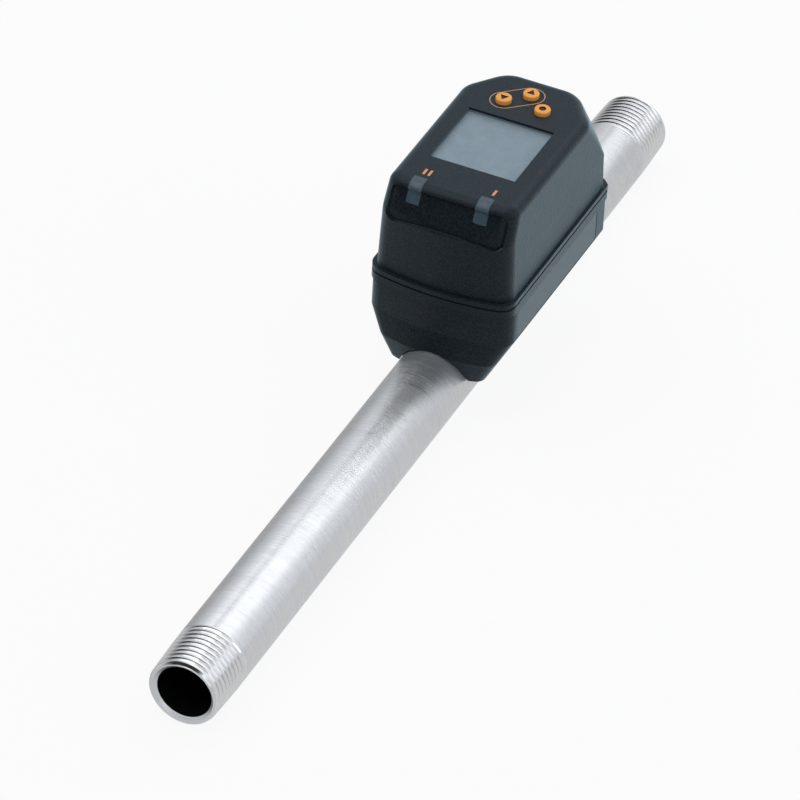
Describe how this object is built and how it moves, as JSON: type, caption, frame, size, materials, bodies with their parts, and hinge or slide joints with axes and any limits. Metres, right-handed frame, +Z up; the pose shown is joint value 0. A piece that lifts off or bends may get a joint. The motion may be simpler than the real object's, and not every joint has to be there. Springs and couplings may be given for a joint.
{
  "type": "compressed air flow meter",
  "caption": "Compressed air flow meter: a straight stainless pipe with threaded ends carries a saddle housing with display, buttons and a round connector.",
  "frame": {"origin": "centre of the inlet end face of the pipe", "axes": "+X along the pipe in the direction of flow, +Z up through the display, +Y to the left when looking along the flow"},
  "size_m": [0.3, 0.0438, 0.0726],
  "materials": {
    "stainless": "fine circumferential brushing",
    "housing_plastic": "fine grain",
    "panel_plastic": "satin",
    "rubber_black": "matt",
    "button_orange": "satin",
    "smoke_lens": "frosted",
    "lamp_lens": "clear",
    "display_window": "clear",
    "display_face": "blank",
    "board_green": "solder mask",
    "inner_black": "moulded",
    "plated_steel": "plated",
    "contact_gold": "plated"
  },
  "bodies": {
    "meter": {"meter_pipe": "stainless", "probe_socket": "stainless", "probe_body": "stainless", "probe_seal": "rubber_black", "heated_sensor": "stainless", "reference_sensor": "stainless", "housing_nut": "plated_steel", "probe_nut": "plated_steel", "lower_housing": "housing_plastic", "inlet_pipe_seal": "rubber_black", "outlet_pipe_seal": "rubber_black", "side_panel_left": "panel_plastic", "side_panel_right": "panel_plastic", "housing_gasket": "rubber_black", "housing_cover": "housing_plastic", "light_guide_left": "smoke_lens", "light_guide_right": "smoke_lens", "status_lamps": "lamp_lens", "display_glass": "display_window", "display_cell": "display_face", "display_carrier": "inner_black", "display_board": "board_green", "board_spacers": "plated_steel", "main_board": "board_green", "board_screws": "plated_steel", "board_connector": "inner_black", "probe_plug": "inner_black", "button_switches": "inner_black", "housing_screws": "plated_steel", "connector_shell": "plated_steel", "connector_insert": "inner_black", "connector_pins": "contact_gold", "connector_seal": "rubber_black", "connector_nut": "plated_steel"},
    "up_button": {"button_up": "button_orange", "button_up_plunger": "inner_black"},
    "down_button": {"button_down": "button_orange", "button_down_plunger": "inner_black"},
    "set_button": {"button_set": "button_orange", "button_set_plunger": "inner_black"}
  },
  "joints": [
    {"name": "press_up", "type": "slide", "parent": "meter", "child": "up_button", "axis": [0, 0, -1], "range_m": [0, 0.0005], "stiffness_N_per_m": 400},
    {"name": "press_down", "type": "slide", "parent": "meter", "child": "down_button", "axis": [0, 0, -1], "range_m": [0, 0.0005], "stiffness_N_per_m": 400},
    {"name": "press_set", "type": "slide", "parent": "meter", "child": "set_button", "axis": [0, 0, -1], "range_m": [0, 0.0005], "stiffness_N_per_m": 400}
  ]
}
